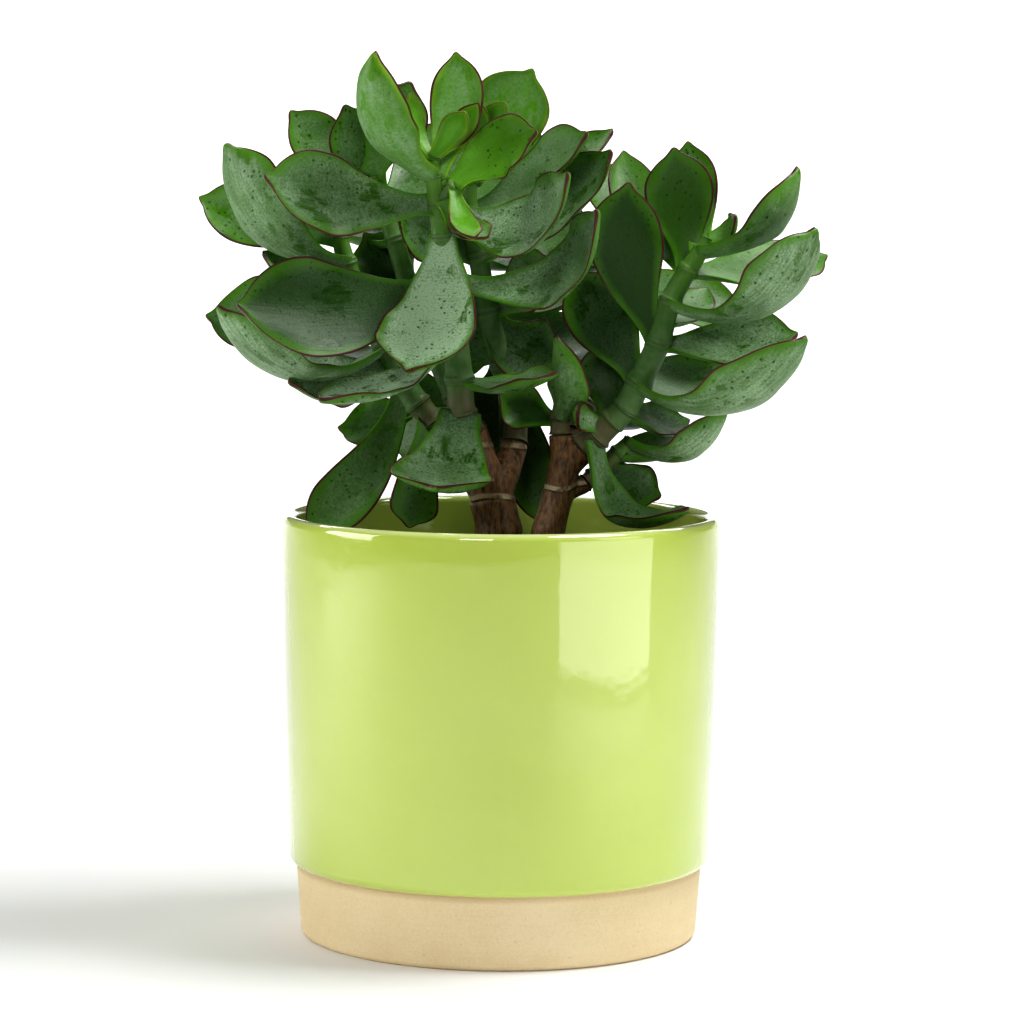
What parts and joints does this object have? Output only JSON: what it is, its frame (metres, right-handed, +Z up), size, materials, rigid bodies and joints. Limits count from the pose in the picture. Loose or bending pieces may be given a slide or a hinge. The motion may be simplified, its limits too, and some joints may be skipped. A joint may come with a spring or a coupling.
{
  "type": "potted jade plant",
  "caption": "Bushy jade plant with waved, spoon-shaped fleshy leaves on forked woody trunks, growing in a round glazed stoneware pot with a bare clay foot.",
  "frame": {"origin": "centre of the pot's flat base, on the pot's axis, where it stands", "axes": "+Z up along the pot's axis, the pictured side faces -Y, +X is to the right in the picture"},
  "size_m": [0.2025, 0.1439, 0.28],
  "materials": {
    "stoneware": "bare fired clay",
    "glaze": "glossy opaque glaze",
    "soil": "crumbly, matte",
    "bark": "smooth brown bark",
    "foliage": "waxy, fleshy"
  },
  "bodies": {
    "root": {"pot_body": "stoneware", "pot_glaze": "glaze", "soil": "soil", "trunk_left": "bark", "trunk_right": "bark", "stem_front": "foliage", "stem_left": "foliage", "stem_back_left": "foliage", "stem_back": "foliage", "stem_middle": "foliage", "stem_right": "foliage", "stem_back_right": "foliage", "stem_low_right": "foliage"}
  },
  "joints": []
}
